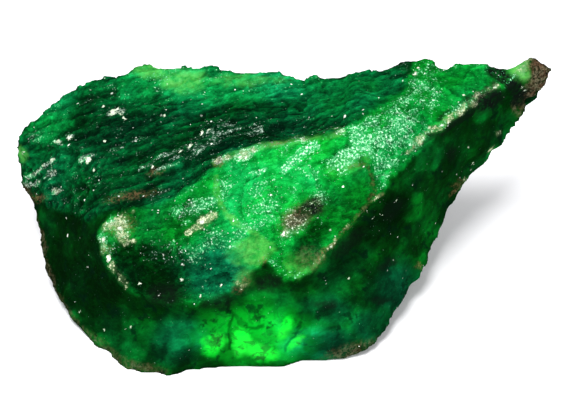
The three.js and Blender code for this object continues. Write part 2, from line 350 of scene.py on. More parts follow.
def remeshed(source):
    """A new object with the CAD stone's shape in an even mesh of small faces."""
    piece = bpy.data.objects.new("emerald_stone", source.data.copy())
    bpy.context.scene.collection.objects.link(piece)
    piece.modifiers.new("weld", "WELD").merge_threshold = WELD
    voxels = piece.modifiers.new("voxels", "REMESH")
    voxels.mode = "VOXEL"
    voxels.voxel_size = VOXEL
    graph = bpy.context.evaluated_depsgraph_get()
    mesh = bpy.data.meshes.new_from_object(piece.evaluated_get(graph))
    piece.modifiers.clear()
    piece.data = mesh
    mesh.materials.clear()
    mesh.polygons.foreach_set("use_smooth", np.ones(len(mesh.polygons), bool))
    return piece


def neighbour_mean(mesh):
    """A function that gives each point the mean of its neighbours' values."""
    pairs = np.empty(len(mesh.edges) * 2, np.int32)
    mesh.edges.foreach_get("vertices", pairs)
    a, b = pairs.reshape(-1, 2).T
    size = len(mesh.vertices)
    count = np.bincount(pairs, minlength=size)

    def mean(values):
        return (np.bincount(a, values[b], size) + np.bincount(b, values[a], size)) / count

    return mean


def smoothed(points, mean):
    """Points drawn in to the middle of their neighbours and back out, so the stone keeps its size."""
    for step in (DRAW_IN, DRAW_OUT) * SMOOTHING:
        middles = np.stack([mean(axis) for axis in points.T], 1)
        points = points + (middles - points) * step
    return points


def relief_height(face):
    """How far each point is to stand out of the smooth surface, in millimetres, zone by zone."""
    points, along, back = face.points, face.along, face.back
    slab = face.area(SLAB, 0.8)
    band = face.area(BAND, 0.9)
    grainy_slab = slab * ramp(octaves(points, 3.0, 2, seed=9), -0.35, 0.25)
    sugary = strongest(face.area(SUGARY, 0.5), grainy_slab)
    rough = np.clip(0.2 + 0.8 * strongest(slab, band, back * 0.4), 0, 1)
    ridged = strongest(band * ramp(face.front, 0.3, 1.0), back * 0.3)

    height = 0.30 * breaks(points, 4.6, seed=1) * rough
    height += 0.14 * breaks(points, 1.9, seed=2) * rough
    height += 0.20 * octaves(points, 5.0, 2, seed=3)
    height += ridged * 0.36 * crests(along, (7.0, 1.5, 2.4), 2, seed=5)
    height += ridged * 0.12 * breaks(along, (2.6, 0.8, 0.8), seed=6)
    height += slab * 0.10 * crests(along, (3.2, 1.2, 1.6), 2, seed=7)
    height += strongest(sugary * face.front, ridged * 0.5) * 0.10 * breaks(points, 0.62, seed=8)
    height -= 0.12 * rough
    return height


def break_up(mesh, middle):
    """Gives the surface the relief of each of its zones and keeps the foot flat.

    Returns how far each point stands above the surface around it, in millimetres.
    """
    mean = neighbour_mean(mesh)
    points = smoothed(points_of(mesh), mean)
    set_points(mesh, points)
    normals = normals_of(mesh)
    height = relief_height(Face(points, normals, middle))
    above_foot = ramp(points[:, 2], *FOOT_HEIGHTS)
    points = points + normals * (height * above_foot)[:, None]
    points[:, 2] = np.where(above_foot > 0, np.maximum(points[:, 2], 0), 0)
    set_points(mesh, points)

    around = height
    for _ in range(RELIEF_ROUNDS):
        around = mean(around)
    return height - around


def thickness(mesh, points, normals):
    """How far it is through the stone from each point, straight in, in millimetres."""
    tree = BVHTree.FromPolygons(
        [Vector(p) for p in points], [tuple(f.vertices) for f in mesh.polygons]
    )
    through = np.full(len(points), RAY_LENGTH)
    for i, (point, normal) in enumerate(zip(points, normals)):
        inward = Vector(-normal)
        _, _, _, distance = tree.ray_cast(Vector(point) + inward * RAY_START, inward)
        if distance is not None:
            through[i] = distance
    return through


# --- Where each finish lies ------------------------------------------------------------------------

# Patches: along, up, half length, half width, turn in degrees, level. First how light the crystal is.
BAND_PATCHES = (
    # Painted light: the band is painted lighter towards the top rim, where it thins.
    (-6.0, 16.2, 12.0, 2.2, 2, 0.56),
    (-12.6, 16.9, 3.0, 1.6, 0, 0.72),
    (-16.2, 17.4, 2.8, 1.4, 10, 0.62),
    (-18.0, 15.6, 2.6, 1.8, 20, 0.50),
    (-28.6, 11.4, 3.4, 2.4, 55, 0.46),
    (-31.0, 6.0, 1.6, 2.6, 10, 0.34),
    (-25.4, 6.0, 4.6, 2.2, 20, 0.30),
    (-20.0, 11.0, 5.0, 2.0, 15, 0.10),
    (-10.6, 9.8, 8.0, 1.6, 18, 0.18),
    # Painted shade: dark strips in the hollow just behind the slab's upper edge.
    (-3.0, 10.2, 7.0, 0.9, 14, 0.08),
    (-16.0, 3.4, 6.0, 0.9, 24, 0.10),
    (9.6, 15.0, 7.0, 2.6, 12, 0.42),
    (-19.0, 4.6, 3.4, 1.5, 10, 0.26),
    (-12.4, 5.0, 3.6, 1.1, 28, 0.32),
    (-26.4, 1.6, 3.6, 1.5, 10, 0.24),
)
SLAB_PATCHES = (
    (-0.6, 3.6, 8.0, 4.6, 25, 0.70),
    (0.4, 6.4, 5.6, 1.6, 20, 0.74),
    (7.2, 8.8, 2.4, 1.6, 20, 0.66),
    (-12.6, -0.6, 5.0, 2.6, 14, 0.42),
    (-17.6, -0.2, 2.6, 1.6, 10, 0.40),
    # Painted shade: the underside of the slab's nose, which faces down, is painted dark.
    (-16.0, -7.2, 5.6, 3.6, -14, 0.03),
    (-17.4, -5.0, 3.6, 1.2, -20, 0.10),
    (-8.6, -6.8, 4.2, 2.6, 10, 0.36),
    (-9.2, -3.0, 2.4, 1.8, 0, 0.50),
    (-5.2, 0.4, 1.9, 3.0, 20, 0.72),
    (-4.4, -4.4, 3.0, 1.4, 10, 0.66),
    (8.6, 1.2, 3.0, 2.8, 20, 0.40),
    (10.2, 4.2, 1.5, 2.2, -10, 0.48),
    (3.8, -2.9, 3.0, 1.2, 45, 0.22),
    (3.2, -4.8, 2.2, 1.0, 20, 0.33),
    (22.8, 16.6, 3.4, 1.8, 15, 0.52),
    (24.6, 13.4, 3.4, 1.0, 35, 0.24),
)
LOWER_PATCHES = (
    (-25.6, -6.6, 8.0, 9.0, 0, 0.08),
    (-29.4, -1.6, 1.6, 5.0, 10, 0.18),
    (-15.6, -13.0, 3.6, 2.6, 10, 0.28),
    (-11.6, -14.6, 3.4, 3.0, 0, 0.38),
    (-2.8, -14.4, 9.0, 4.2, 0, 0.55),
    (5.0, -10.6, 5.0, 2.6, 20, 0.30),
    (11.6, -8.6, 4.2, 3.4, 20, 0.24),
    (8.6, -9.2, 2.4, 2.0, 0, 0.22),
    # Painted shadow: a dark strip along the slab's lower right edge, where it overhangs.
    (11.6, -2.0, 8.4, 1.6, 44, 0.03),
    (14.2, 0.9, 3.0, 1.8, 48, 0.02),
    (21.0, 7.0, 3.4, 1.6, 60, 0.14),
    (15.6, -5.0, 2.8, 3.2, 0, 0.28),
    (18.4, 1.6, 2.2, 4.4, -15, 0.36),
    (11.2, -14.0, 3.0, 2.6, 20, 0.44),
    (24.2, 10.2, 2.6, 1.4, 50, 0.30),
    (21.2, 9.8, 2.0, 1.2, 45, 0.28),
    (-19.2, -16.6, 3.6, 2.4, -25, 0.13),
    (-30.0, -1.4, 1.6, 3.6, 10, 0.11),
    (18.2, -3.6, 1.2, 2.4, -25, 0.38),
    (12.9, -12.3, 1.4, 1.2, 30, 0.48),
)
# How strong each of the other finishes is.
# Painted light: a bright glow near the foot, where light comes through the stone.
PAINTED_GLOW_PATCHES = (
    (-4.9, -15.6, 1.2, 1.8, 0, 1.0),
    (-8.4, -16.0, 1.6, 1.2, 20, 0.80),
    (0.5, -14.0, 1.5, 0.8, 60, 0.78),
    (1.8, -15.9, 1.2, 0.7, 40, 0.80),
    (-2.6, -17.0, 2.2, 1.0, -10, 0.95),
    (-3.2, -14.8, 6.6, 3.2, 0, 0.25),
)
TEALS = (
    (-8.6, -6.8, 4.2, 3.2, 0, 0.9),
    (-12.6, -15.4, 3.4, 3.0, 0, 0.8),
    (5.0, -16.0, 4.0, 2.4, 0, 0.9),
    (14.4, -9.0, 3.4, 3.6, 0, 0.8),
    (5.4, -12.0, 3.4, 2.0, 0, 0.5),
    (12.0, -14.0, 3.0, 2.4, 0, 0.7),
)
PALES = (
    (-4.6, -7.8, 1.3, 1.1, 40, 0.25),
    (-12.2, 17.0, 2.6, 1.3, 0, 0.75),
    (-16.2, 18.3, 2.2, 1.0, -5, 0.6),
    (-32.3, 7.7, 0.6, 0.9, 0, 0.7),
    (-4.4, 17.0, 4.6, 0.7, 0, 0.30),
    (8.6, 6.8, 2.4, 1.2, 25, 0.40),
    (29.9, 18.0, 1.6, 1.2, 20, 0.95),
)
CREAMS = (
    (-20.6, -1.4, 1.4, 0.9, 20, 0.64),
    (-19.8, -2.5, 0.9, 0.7, 40, 0.50),
    (-9.9, -1.1, 1.3, 0.6, 35, 0.85),
    (-18.9, -3.2, 0.9, 0.3, 25, 0.5),
    (-4.6, 7.6, 1.1, 0.45, 14, 0.55),
    (-5.0, -8.6, 0.9, 0.6, 40, 0.45),
    (27.2, 10.4, 0.4, 0.2, 55, 0.4),
    (26.3, 8.3, 0.5, 0.2, 55, 0.4),
    (22.9, 4.6, 0.5, 0.25, 50, 0.4),
    (22.2, 3.3, 0.5, 0.2, 50, 0.5),
    (-28.0, 3.1, 0.35, 0.25, 0, 0.7),
    (16.0, 8.1, 0.3, 0.2, 0, 0.8),
    (29.9, 18.2, 1.1, 0.8, 20, 0.35),
    (0.4, -2.3, 0.6, 0.5, 0, 0.7),
)
STAINS = (
    (-7.6, 6.7, 0.8, 0.5, 20, 0.85),
    (-0.2, 9.1, 1.4, 0.3, 8, 0.7),
    (-2.3, -5.6, 0.6, 0.4, 45, 0.7),
    (-5.0, -8.6, 1.3, 0.6, 50, 0.6),
    (4.8, -5.2, 1.2, 0.45, 60, 0.8),
    (-18.6, 2.5, 3.0, 0.5, 10, 0.55),
    (-15.6, 5.6, 1.0, 0.5, 20, 0.5),
    (-30.5, 2.3, 1.2, 0.5, 0, 0.6),
    (16.6, 8.6, 0.5, 0.3, 0, 0.8),
    (17.2, -6.2, 0.5, 0.4, 0, 0.8),
    (21.8, 3.4, 1.2, 0.4, 55, 0.6),
    (-20.0, -1.3, 1.7, 1.1, 20, 0.45),
    (-21.7, -4.2, 0.6, 0.5, 0, 0.7),
)
CRUSTS = (
    (2.0, -0.3, 2.1, 1.3, 32, 0.9),
    (32.5, 17.8, 1.5, 3.2, 8, 1.0),
    (31.2, 15.4, 0.9, 1.9, -25, 0.95),
    (29.8, 13.4, 0.8, 0.9, 0, 0.7),
    (3.4, -5.4, 1.7, 1.3, 10, 0.35),
    (4.0, 1.2, 1.4, 1.0, 35, 0.7),
    (-32.2, 2.6, 0.8, 1.2, 0, 0.6),
    (8.9, -16.8, 3.2, 0.8, 20, 0.5),
    (-18.0, -19.0, 3.4, 0.7, -10, 0.42),
)
MICAS = (
    (4.2, 1.2, 1.9, 1.3, 35, 1.0),
    (2.2, -0.5, 1.4, 0.7, 32, 0.7),
    (25.9, 14.4, 2.3, 1.4, 35, 1.0),
    (26.2, 18.8, 1.0, 0.5, 0, 0.85),
    (-14.6, -9.9, 2.2, 1.4, 0, 0.8),
    (-7.8, -10.9, 2.0, 1.0, 0, 0.7),
    (-1.6, -8.4, 1.9, 1.1, 10, 0.85),
    (14.0, 0.8, 1.8, 1.1, 40, 0.6),
    (13.4, -6.0, 1.7, 0.6, 30, 0.7),
    (12.6, -10.6, 1.6, 0.4, 0, 0.6),
    (5.4, -11.1, 1.7, 0.5, 0, 0.7),
    (8.4, -3.3, 2.8, 0.9, 40, 0.6),
    (21.4, 7.7, 0.7, 1.3, 0, 0.7),
)
# Frosted crystal, with glints painted on its grains.
FROST_AND_GLINT_PATCHES = (
    (-2.2, 1.2, 2.8, 3.6, 0, 0.60),
    (-9.9, 1.6, 2.4, 1.2, 10, 0.75),
    (-7.2, -2.8, 3.2, 1.4, -10, 0.62),
    (-4.6, 7.6, 1.7, 0.7, 20, 1.0),
    (-2.7, 5.5, 1.3, 0.4, 5, 0.85),
    (8.2, 7.3, 3.0, 1.2, 25, 0.85),
    (9.7, 9.6, 1.3, 2.0, 10, 1.0),
    (4.2, 2.4, 2.0, 0.9, 30, 0.6),
    (14.0, 5.8, 1.4, 0.9, 50, 0.50),
    (-14.2, -4.6, 3.2, 2.0, -10, 0.48),
    (-20.2, -1.6, 1.6, 1.2, 20, 0.60),
    (2.3, 0.0, 2.2, 1.5, 32, 0.48),
    (4.8, 1.9, 1.6, 1.3, 20, 0.52),
)
# Painted glints, single bright spots: along, up, half length.
PAINTED_GLINT_SPOTS = (
    (-21.0, 12.8, 0.40), (-20.4, 13.1, 0.22), (-19.5, 12.1, 0.26), (-26.5, 9.8, 0.30), (-27.8, 9.3, 0.24),
    (-22.2, 9.4, 0.20), (-24.0, 7.1, 0.34), (-23.5, 5.8, 0.20), (-14.3, 12.6, 0.18), (-9.9, 10.5, 0.22),
    (-8.8, 10.6, 0.22), (-11.4, 8.7, 0.32), (-12.6, 8.0, 0.20), (-15.9, 6.4, 0.24), (-32.2, 7.9, 0.20),
    (-22.0, 13.9, 0.18), (-28.4, 7.0, 0.30), (26.6, 16.3, 0.24), (30.3, 15.9, 0.14), (0.2, -2.3, 0.34),
    (-20.0, -1.5, 0.30), (-22.1, -2.9, 0.28), (-21.6, -5.2, 0.34), (-17.8, -8.6, 0.16), (-9.8, -0.9, 0.34),
    (-22.1, -14.2, 0.14), (-19.4, -13.8, 0.14), (-18.5, -13.7, 0.16), (-25.2, -12.1, 0.13),
    (-12.6, -7.8, 0.16), (-10.1, -10.0, 0.16), (-13.7, -9.3, 0.15), (-7.5, -8.7, 0.13),
    (23.0, 14.9, 0.20), (16.6, 17.9, 0.24), (17.1, 18.6, 0.16), (21.1, 11.6, 0.22), (20.4, 9.5, 0.18),
    (23.3, 8.5, 0.13), (24.1, 6.5, 0.15), (14.5, 2.0, 0.20), (12.4, 0.2, 0.14), (11.5, -0.4, 0.18),
    (10.9, 0.4, 0.14), (9.7, -1.9, 0.14), (8.6, -7.8, 0.16),
)
# How far the grains and their painted glints stay away.
CALM = (
    (9.0, 1.2, 3.4, 2.8, 20, 0.95),
    (10.2, 4.2, 1.5, 2.2, -10, 1.0),
    (6.7, 8.9, 1.5, 1.1, 20, 0.8),
    (22.9, 16.6, 3.0, 1.6, 15, 0.9),
    (-3.8, -4.3, 2.8, 1.6, 10, 0.7),
    (3.6, -4.0, 3.4, 1.8, 45, 0.7),
    (-18.0, 0.1, 1.6, 0.7, 10, 0.8),
    (-16.6, -7.6, 5.0, 3.0, -14, 0.8),
    (-17.0, -4.4, 2.0, 0.8, -20, 0.4),
    (-8.6, -6.8, 2.6, 2.0, 10, 0.6),
    (-4.0, 14.0, 10.0, 1.4, 4, 0.5),
    (8.0, 14.6, 6.0, 2.2, 10, 0.8),
)
# Two patches without a level of their own: the light part of the sugary strip, and its densest part.
LIGHT_SUGAR = (9.7, 9.6, 1.3, 2.0, 10)
SUGAR_HEART = (12.8, 10.2, 5.0, 3.0, 50)


class Zones:
    """The stone's zones, with the noises that several finishes share, at each point."""

    def __init__(self, mesh, middle, relief):
        points, normals = points_of(mesh), normals_of(mesh)
        self.points = points
        self.face = Face(points, normals, middle)
        self.along = self.face.along
        self.slab = self.face.area(SLAB, 0.4)
        self.band = self.face.area(BAND, 0.6)
        self.sugary = self.face.area(SUGARY, 0.35)
        self.lower = np.clip(self.face.front - self.slab - self.band, 0, 1)
        self.back = self.face.back
        # How thin the stone is at each point; thin edges are painted lighter with it.
        self.thin = 1 - ramp(thickness(mesh, points, normals), 1.0, 7.0)
        # How far each point stands out of the surface around it; it paints light on crests, shade in
        # hollows and glints along ridges.
        self.raised = np.clip(relief / 0.12, -1, 1)

        self.cloud = octaves(points, 6.0, 3, seed=20)
        self.streak = octaves(self.along, (6.0, 1.0, 2.0), 3, seed=24)
        bent = points + waves(points, 2.0, seed=31)[:, None] * 0.7
        _, blocks, gap = splinters(bent, 3.4, seed=30)
        self.mottle = (blocks[:, 4] - 0.5) * ramp(gap, 0.0, 0.35)
        self.speckle = ramp(octaves(points, 2.6, 3, seed=60), -0.3, 0.5)
        self.patchy = ramp(octaves(points, 1.3, 3, seed=80), -0.25, 0.2)
        self.vein = strongest(*(self.face.line(vein, 0.3) for vein in VEINS))


def tone_share(zones):
    """How light the green is: a level for each zone, its patches, and streaks, clouds and veins, with
    painted light on thin edges and crests and painted shade in hollows.
    """
    face, lower, cloud, streak = zones.face, zones.lower, zones.cloud, zones.streak
    tone = 0.22 + 0.14 * cloud + 0.12 * streak
    tone = face.layered(tone, BAND_PATCHES, zones.band)
    tone = towards(tone, 0.22 + 0.08 * cloud, lower)
    tone = face.layered(tone, LOWER_PATCHES, lower)
    tone = tone + (0.07 * zones.mottle + 0.12 * cloud) * lower
    tone = towards(tone, 0.60 + 0.08 * cloud, zones.slab)
    tone = face.layered(tone, SLAB_PATCHES, zones.slab)
    tone = towards(tone, 0.54 + 0.10 * face.patch(*LIGHT_SUGAR), zones.sugary)
    grain = 0.08 * waves(zones.points, 1.2, seed=35)
    # Painted light: thin edges, away from the slab, are painted lighter, as if lit through.
    tone += grain + 0.10 * streak * zones.band + 0.15 * zones.thin * (1 - zones.slab)
    tone -= 0.18 * strongest(zones.vein, face.line(FACET_EDGE, 0.45))
    # Painted light and shade: crests of the relief are painted lighter and its hollows darker.
    return tone + 0.12 * zones.raised * (1 - lower * 0.6)


def frost_and_painted_glints_share(zones):
    """How dense the white grains are: frosted crystal, with painted glints, most along the ridges' crests.
    """
    face, along, raised, speckle = zones.face, zones.along, zones.raised, zones.speckle
    # Painted highlights along the crests of the ridges.
    ridge_white = ramp(crests(along, (6.0, 1.1, 2.0), 2, seed=64) + 0.25 * raised, 0.25, 0.8)
    strands = ramp(octaves(along, (2.4, 0.6, 1.0), 3, seed=66) + 0.3 * raised, -0.3, 0.7)
    spread = strongest(
        0.04 + 0.05 * speckle,
        zones.sugary * (0.50 + 0.14 * speckle + 0.15 * face.patch(*SUGAR_HEART)),
        zones.slab * (0.30 + 0.32 * speckle),
        zones.band * (0.17 + 0.36 * ridge_white * (0.3 + 0.7 * speckle)),
        zones.back * 0.4 * ridge_white * speckle,
        face.line(NOSE_EDGE, 0.9) * (0.45 + 0.4 * speckle),
        face.line(PROW_CREST, 0.8) * 0.52,
        face.line(RIB, 1.6) * (0.25 + 0.6 * strands),
    )
    calm = strongest(face.patches(CALM), zones.lower * 0.85)
    return strongest(
        spread * (1 - calm),
        face.patches(FROST_AND_GLINT_PATCHES),
        face.line(UPPER_EDGE, 0.7) * (0.5 + 0.5 * speckle),
        face.line(SUGAR_VEIN, 0.85),
        *(face.line(streak, 0.5) * 0.9 for streak in PALE_STREAKS),
    )


def painted_glint_share(zones):
    """Painted glints, single bright spots, duller on the lower faces, and fainter ones along the pale
    streaks.
    """
    face = zones.face
    painted_glints = strongest(
        *(face.patch(u, v, size, size * 0.75, turn=25, soft=0.25) for u, v, size in PAINTED_GLINT_SPOTS)
    )
    return strongest(
        painted_glints * (1 - 0.4 * zones.lower),
        *(face.line(streak, 0.3) * 0.4 for streak in PALE_STREAKS),
    )


def pale_share(zones):
    """Pale flakes of clearer crystal, each lighter towards one side, and pale seams."""
    face = zones.face
    return strongest(
        face.patches(PALES),
        face.line(CRACK, 0.5) * 0.6,
        face.area(FLAKE, 0.4) * ramp(face.u, -8.4, -4.0) * 0.66,
        face.area(SECOND_FLAKE, 0.3) * ramp(face.v, -4.0, -6.2) * 0.35,
        face.line(UPPER_EDGE, 0.6) * 0.4,
    )


def cream_share(zones):
    """Cream-coloured patches and crests, broken up."""
    face, patchy = zones.face, zones.patchy
    return strongest(
        face.patches(CREAMS) * (0.25 + 0.75 * patchy),
        face.line(NOSE_EDGE, 0.6) * 0.34 * patchy,
        face.line(PROW_CREST, 0.7) * (0.22 + 0.22 * patchy),
        face.line(LOWER_EDGE, 0.25) * 0.35 * patchy,
        face.line(UPPER_EDGE, 0.4) * 0.8 * zones.speckle,
        face.line(NOSE_TOP, 0.5) * 0.7 * patchy,
        face.line(BEIGE, 0.7) * (0.42 + 0.2 * patchy),
    )


def stain_share(zones):
    """Rust stains."""
    face = zones.face
    return strongest(
        face.patches(STAINS),
        face.line(LOWER_EDGE, 0.25) * (0.2 + 0.4 * zones.patchy),
        face.line(FACET_EDGE, 0.3) * 0.3,
    )


def crust_share(zones):
    """Brown crust: patches, the rims of the foot and the left end, and parts of the back."""
    face = zones.face
    return strongest(
        face.patches(CRUSTS),
        face.line(FOOT_RIM, 0.8) * 0.3,
        face.line(LEFT_RIM, 0.5) * 0.35,
        zones.back * ramp(octaves(zones.points, 7.0, 3, seed=70), 0.35, 0.7) * 0.7,
    )


def mica_share(zones):
    """Black mica: patches, the ring round the tip and thin lines along the prow."""
    face = zones.face
    return strongest(
        face.patches(MICAS),
        face.line(MICA_RING, 1.2),
        *(face.line(crest, 0.42) * 0.75 for crest in CREST_LINES),
    )


def painted_glow_share(zones):
    """Painted light: where light comes through near the foot, painted as a bright glow, blocky and crossed
    by dark veins.
    """
    return zones.face.patches(PAINTED_GLOW_PATCHES) * (1 + 0.5 * zones.mottle) * (1 - 0.7 * zones.vein)


def teal_share(zones):
    """How bluish the green is."""
    patches = zones.face.patches(TEALS)
    return patches + 0.55 * zones.band + 0.12 * zones.slab + 0.4 * zones.back + 0.3 * zones.cloud


def finish_masks(zones):
    """A share from 0 to 1 at each point for every finish of the stone, and for the painted glow and
    glints.
    """
    shares = {
        "tone": tone_share(zones),
        "painted_glow": painted_glow_share(zones),
        "teal": teal_share(zones),
        "frost_and_painted_glints": frost_and_painted_glints_share(zones),
        "pale": pale_share(zones),
        "cream": cream_share(zones),
        "stain": stain_share(zones),
        "crust": crust_share(zones),
        "mica": mica_share(zones),
        "painted_glint": painted_glint_share(zones),
        "veined": zones.lower + 0.3 * zones.back,
    }
    return {name: np.clip(share, 0, 1) for name, share in shares.items()}


def store_masks(mesh, masks):
    for name, share in masks.items():
        made = mesh.attributes.new(name, "FLOAT", "POINT")
        made.data.foreach_set("value", share.astype(np.float32))


# --- The crystal's material --------------------------------------------------------------------------


def colour(red, green, blue):
    return (red, green, blue, 1.0)


# The green from its darkest to its lightest tone.
GREENS = (
    (0.0, colour(0.0003, 0.0070, 0.0008)),
    (0.2, colour(0.0004, 0.0245, 0.0020)),
    (0.4, colour(0.0006, 0.070, 0.0050)),
    (0.6, colour(0.0012, 0.158, 0.0110)),
    (0.8, colour(0.0030, 0.309, 0.0250)),
    (1.0, colour(0.0130, 0.522, 0.0500)),
)
BLUISH = colour(1.6, 0.92, 4.6)
# Painted light: the bright green of the glow near the foot.
PAINTED_GLOW_GREEN = colour(0.0, 0.90, 0.030)
FLAW_DARK = colour(0.0004, 0.008, 0.003)
FLAKE_DEEP, FLAKE_LIGHT = colour(0.012, 0.25, 0.022), colour(0.10, 0.47, 0.070)
RUST = colour(0.18, 0.11, 0.05)
CREAM_GREEN = colour(0.12, 0.19, 0.085)
IVORY_DEEP, IVORY_LIGHT = colour(0.22, 0.30, 0.13), colour(0.74, 0.76, 0.52)
EARTH_BROWN, EARTH_OLIVE = colour(0.085, 0.050, 0.028), colour(0.15, 0.14, 0.080)
SOIL_DARK, SOIL_BLACK = colour(0.008, 0.008, 0.003), colour(0.003, 0.004, 0.002)
MICA_BLACK = colour(0.003, 0.006, 0.004)
# The mist and the white grains, frosted crystal with painted glints, each on dark crystal, on light
# crystal and on crust or cream.
MISTS = (colour(0.035, 0.10, 0.06), colour(0.04, 0.41, 0.15), colour(0.18, 0.17, 0.10))
WHITES = (colour(0.40, 0.50, 0.42), colour(0.50, 0.94, 0.56), colour(0.74, 0.72, 0.58))
GLINT_DULL, GLINT_BRIGHT = colour(0.34, 0.44, 0.30), colour(0.86, 0.90, 0.74)
# Painted glints: the colours of the round specks.
SPECK_GREY, SPECK_MINT = colour(0.70, 0.76, 0.66), colour(0.85, 0.97, 0.85)
VOLUME_GREEN = colour(0.0, 0.86, 0.45)
# Round specks, painted glints: the size of their cells, and the share of the cells that hold one at most.
SPECKS = ((0.34, 0.15), (0.62, 0.12), (0.85, 0.05))

IOR = 1.58
ABSORPTION = 260.0
BUMP_MM = 0.12


class Nodes:
    """Short ways to add and join a material's nodes."""

    def __init__(self, name):
        self.material = bpy.data.materials.new(name)
        self.material.use_nodes = True
        self.tree = self.material.node_tree
        self.tree.nodes.clear()

    def add(self, kind, **settings):
        node = self.tree.nodes.new(kind)
        for name, value in settings.items():
            setattr(node, name, value)
        return node

    def put(self, value, socket):
        if isinstance(value, bpy.types.NodeSocket):
            self.tree.links.new(value, socket)
        else:
            socket.default_value = value

    def finished(self, surface, volume=None):
        """The material, with its last shaders joined to its output."""
        output = self.add("ShaderNodeOutputMaterial")
        self.put(surface, output.inputs["Surface"])
        if volume is not None:
            self.put(volume, output.inputs["Volume"])
        return self.material

    def attribute(self, name):
        return self.add("ShaderNodeAttribute", attribute_name=name).outputs["Fac"]

    def maths(self, operation, a, b, clamp=False):
        node = self.add("ShaderNodeMath", operation=operation, use_clamp=clamp)
        self.put(a, node.inputs[0])
        self.put(b, node.inputs[1])
        return node.outputs[0]

    def times(self, a, b):
        return self.maths("MULTIPLY", a, b)

    def plus(self, a, b):
        return self.maths("ADD", a, b)

    def minus(self, a, b):
        return self.maths("SUBTRACT", a, b)

    def largest(self, share, *others):
        for other in others:
            share = self.maths("MAXIMUM", share, other)
        return share

    def span(self, value, low, high, to_low=0.0, to_high=1.0):
        """The value, brought smoothly from one range to another and held at its ends."""
        node = self.add("ShaderNodeMapRange", interpolation_type="SMOOTHSTEP")
        for socket, number in zip(node.inputs, (value, low, high, to_low, to_high)):
            self.put(number, socket)
        return node.outputs["Result"]

    def mix(self, share, a, b, blend="MIX"):
        node = self.add("ShaderNodeMix", data_type="RGBA", blend_type=blend)
        self.put(share, node.inputs["Factor"])
        self.put(a, node.inputs["A"])
        self.put(b, node.inputs["B"])
        return node.outputs["Result"]

    def steps(self, level, colours):
        """The colour at that level along a row of them."""
        node = self.add("ShaderNodeValToRGB")
        self.put(level, node.inputs["Fac"])
        elements = node.color_ramp.elements
        while len(elements) < len(colours):
            elements.new(0.5)
        for element, (position, rgba) in zip(elements, colours):
            element.position = position
            element.color = rgba
        return node.outputs["Color"]

    def stretched(self, where, lengths):
        """The place in the streaks' directions, stretched by those lengths."""
        node = self.add("ShaderNodeMapping", vector_type="TEXTURE")
        self.put(where, node.inputs["Vector"])
        node.inputs["Rotation"].default_value = STREAK_FRAME.to_euler()
        node.inputs["Scale"].default_value = lengths
        return node.outputs[0]

    def noise(self, where, length_mm, detail, roughness=0.5, distortion=0.0):
        node = self.add("ShaderNodeTexNoise")
        self.put(where, node.inputs["Vector"])
        node.inputs["Scale"].default_value = 1 / (length_mm * MM)
        node.inputs["Detail"].default_value = detail
        node.inputs["Roughness"].default_value = roughness
        node.inputs["Distortion"].default_value = distortion
        return node.outputs["Fac"]

    def drifted(self, where, length_mm, amount_mm):
        """The place, moved this way and that, so that what is drawn there becomes irregular."""
        drift = self.add("ShaderNodeTexNoise")
        self.put(where, drift.inputs["Vector"])
        drift.inputs["Scale"].default_value = 1 / (length_mm * MM)
        offset = self.add("ShaderNodeVectorMath", operation="SCALE")
        self.put(drift.outputs["Color"], offset.inputs[0])
        offset.inputs["Scale"].default_value = amount_mm * MM
        moved = self.add("ShaderNodeVectorMath", operation="ADD")
        self.put(where, moved.inputs[0])
        self.put(offset.outputs[0], moved.inputs[1])
        return moved.outputs[0]

    def cells(self, where, size_mm, feature="F1"):
        node = self.add("ShaderNodeTexVoronoi", feature=feature)
        self.put(where, node.inputs["Vector"])
        node.inputs["Scale"].default_value = 1 / (size_mm * MM)
        return node

    def draws(self, cells):
        """Three random shares from 0 to 1 for each cell."""
        node = self.add("ShaderNodeSeparateColor")
        self.put(cells.outputs["Color"], node.inputs[0])
        return tuple(node.outputs)

    def ragged(self, share, where, length_mm):
        """The share, broken into patches with crisp torn edges."""
        torn = self.span(self.noise(where, length_mm, 5.0, 0.7), 0.35, 0.65, 0.0, 0.75)
        return self.span(self.minus(share, torn), 0.0, 0.22)


class Crystal(Nodes):
    """The crystal's material, with the masks, places and noises that several finishes share."""

    def __init__(self, mask_names):
        super().__init__("included_emerald")
        self.mask = {name: self.attribute(name) for name in mask_names}
        self.where = self.add("ShaderNodeTexCoord").outputs["Object"]
        self.along = self.stretched(self.where, (1.8, 1.0, 1.0))
        self.inward = self.stretched(self.where, (1.0, 1.0, 3.0))
        self.fine = self.noise(self.along, 0.6, 6.0, 0.9)
        self.uneven = self.noise(self.where, 1.1, 5.0, 0.7)
        self.grit = self.noise(self.where, 0.45, 4.0, 0.7)
        self.light = self.span(self.mask["tone"], 0.25, 0.55)
        self.earthy = self.largest(self.mask["crust"], self.mask["cream"])

    def by_ground(self, colours):
        """One of three colours, for dark crystal, for light crystal and for crust or cream."""
        on_dark, on_light, on_earth = colours
        return self.mix(self.earthy, self.mix(self.light, on_dark, on_light), on_earth)


